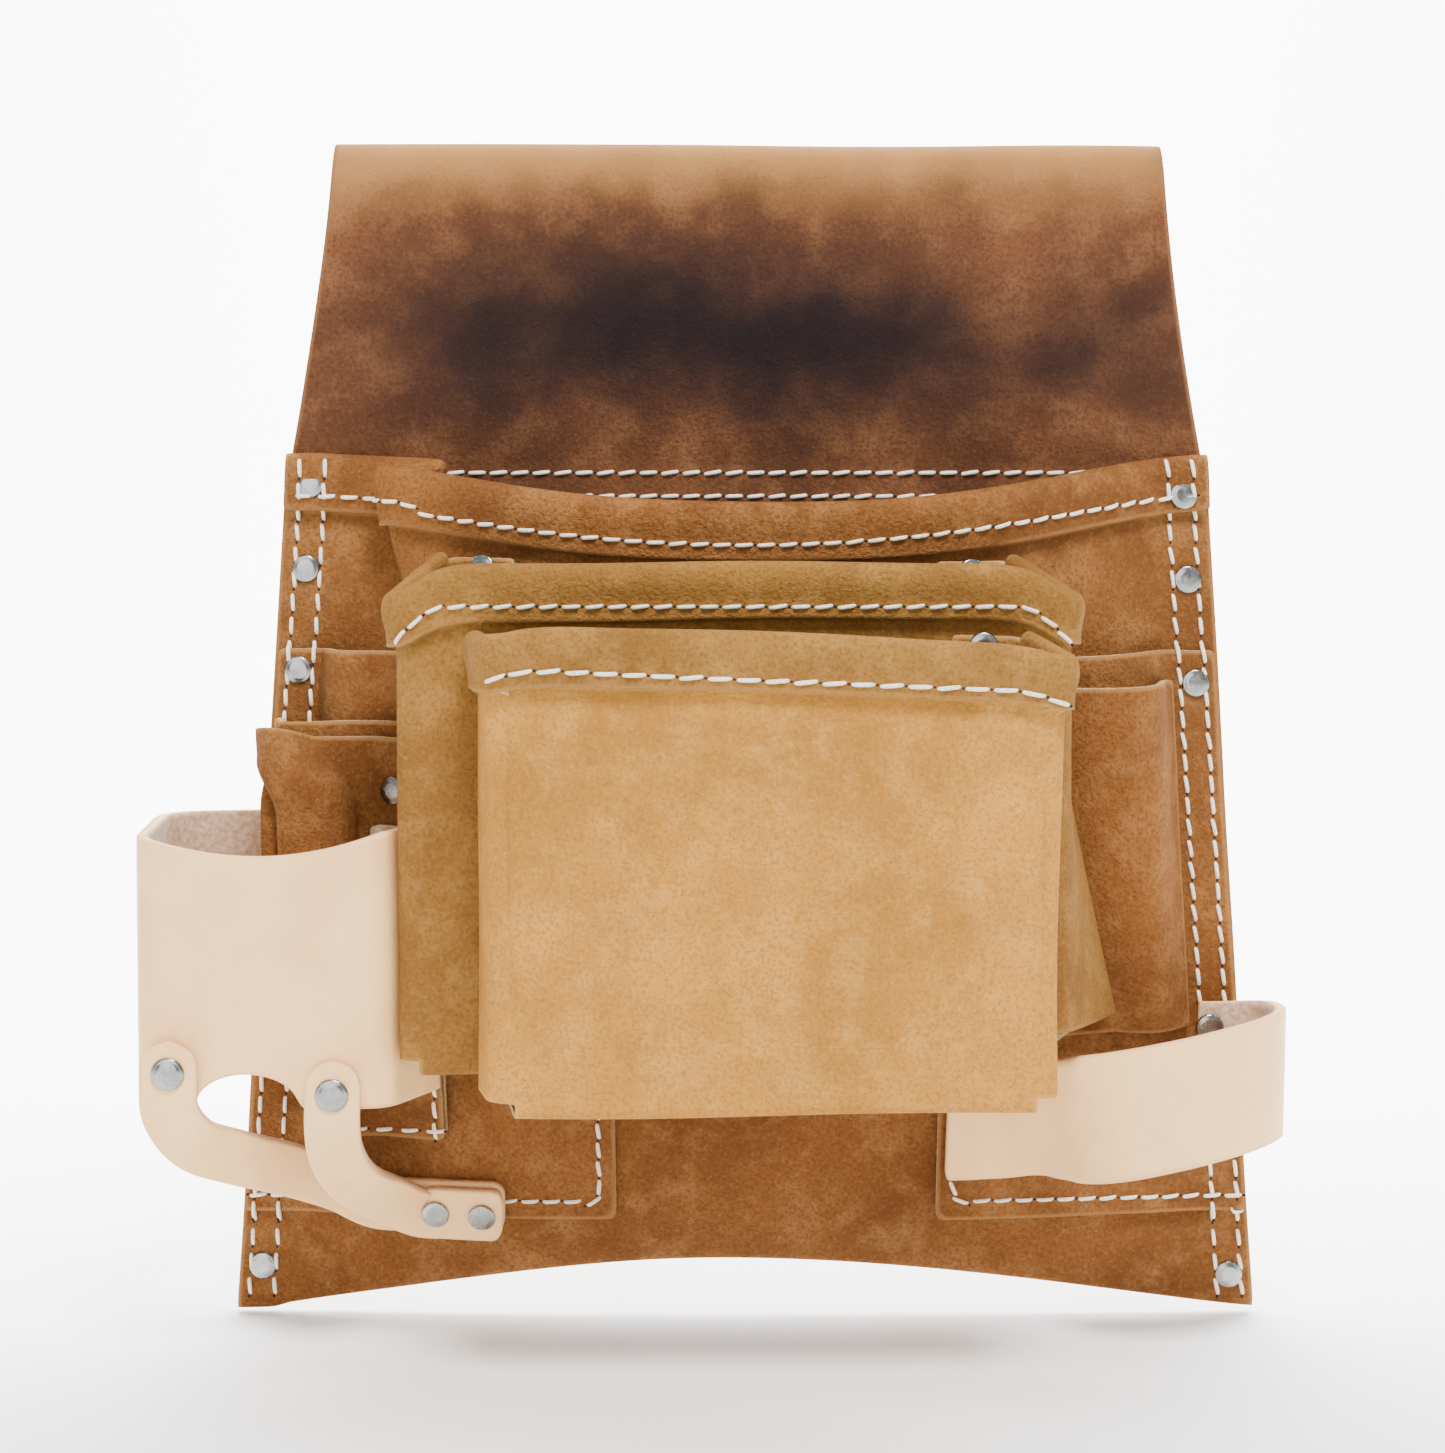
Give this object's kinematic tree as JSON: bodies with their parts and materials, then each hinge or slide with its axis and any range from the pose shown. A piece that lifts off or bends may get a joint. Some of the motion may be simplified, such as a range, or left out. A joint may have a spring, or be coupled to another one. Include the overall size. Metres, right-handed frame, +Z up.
{
  "type": "tool belt bag",
  "caption": "Suede nail and tool bag for a carpenter's belt, with a belt tunnel, layered pockets, a square holder and a hammer loop.",
  "frame": {"origin": "middle of the belt tunnel: half way across it, half way up it, and half way between its front and back walls", "axes": "+Z up, towards the tunnel's top; -Y forward, out of the bag's front; +X to the right of someone facing the bag's front"},
  "size_m": [0.3102, 0.1078, 0.327],
  "materials": {
    "brown_suede": "rough suede",
    "tan_suede": "rough suede",
    "golden_suede": "rough suede",
    "undyed_bridle_leather": "smooth, vegetable tanned",
    "nickel_plate": "satin nickel plate"
  },
  "bodies": {
    "root": {"bag_body": "brown_suede", "front_nail_pocket": "golden_suede", "front_pocket_rivet_left": "nickel_plate", "front_pocket_rivet_right": "nickel_plate", "hammer_loop": "undyed_bridle_leather", "holder_back_rivet_1": "nickel_plate", "holder_back_rivet_2": "nickel_plate", "holder_end_rivet_1": "nickel_plate", "holder_end_rivet_2": "nickel_plate", "holder_strap_left": "undyed_bridle_leather", "holder_strap_right": "undyed_bridle_leather", "left_inner_slot": "tan_suede", "left_outer_slot": "brown_suede", "left_tool_pocket": "brown_suede", "loop_back_rivet_1": "nickel_plate", "loop_back_rivet_2": "nickel_plate", "loop_end_rivet_1": "nickel_plate", "loop_end_rivet_2": "nickel_plate", "rear_nail_pocket": "tan_suede", "rear_pocket_rivet_left": "nickel_plate", "rear_pocket_rivet_right": "nickel_plate", "right_small_pocket": "tan_suede", "right_tool_pocket": "brown_suede", "seam_rivet_left_1": "nickel_plate", "seam_rivet_left_2": "nickel_plate", "seam_rivet_left_3": "nickel_plate", "seam_rivet_left_4": "nickel_plate", "seam_rivet_right_1": "nickel_plate", "seam_rivet_right_2": "nickel_plate", "seam_rivet_right_3": "nickel_plate", "seam_rivet_right_4": "nickel_plate", "slot_rivet": "nickel_plate", "square_holder": "undyed_bridle_leather", "strap_base_rivet_1": "nickel_plate", "strap_base_rivet_2": "nickel_plate", "strap_base_rivet_3": "nickel_plate", "strap_rivet_left": "nickel_plate", "strap_rivet_right": "nickel_plate"}
  },
  "joints": []
}
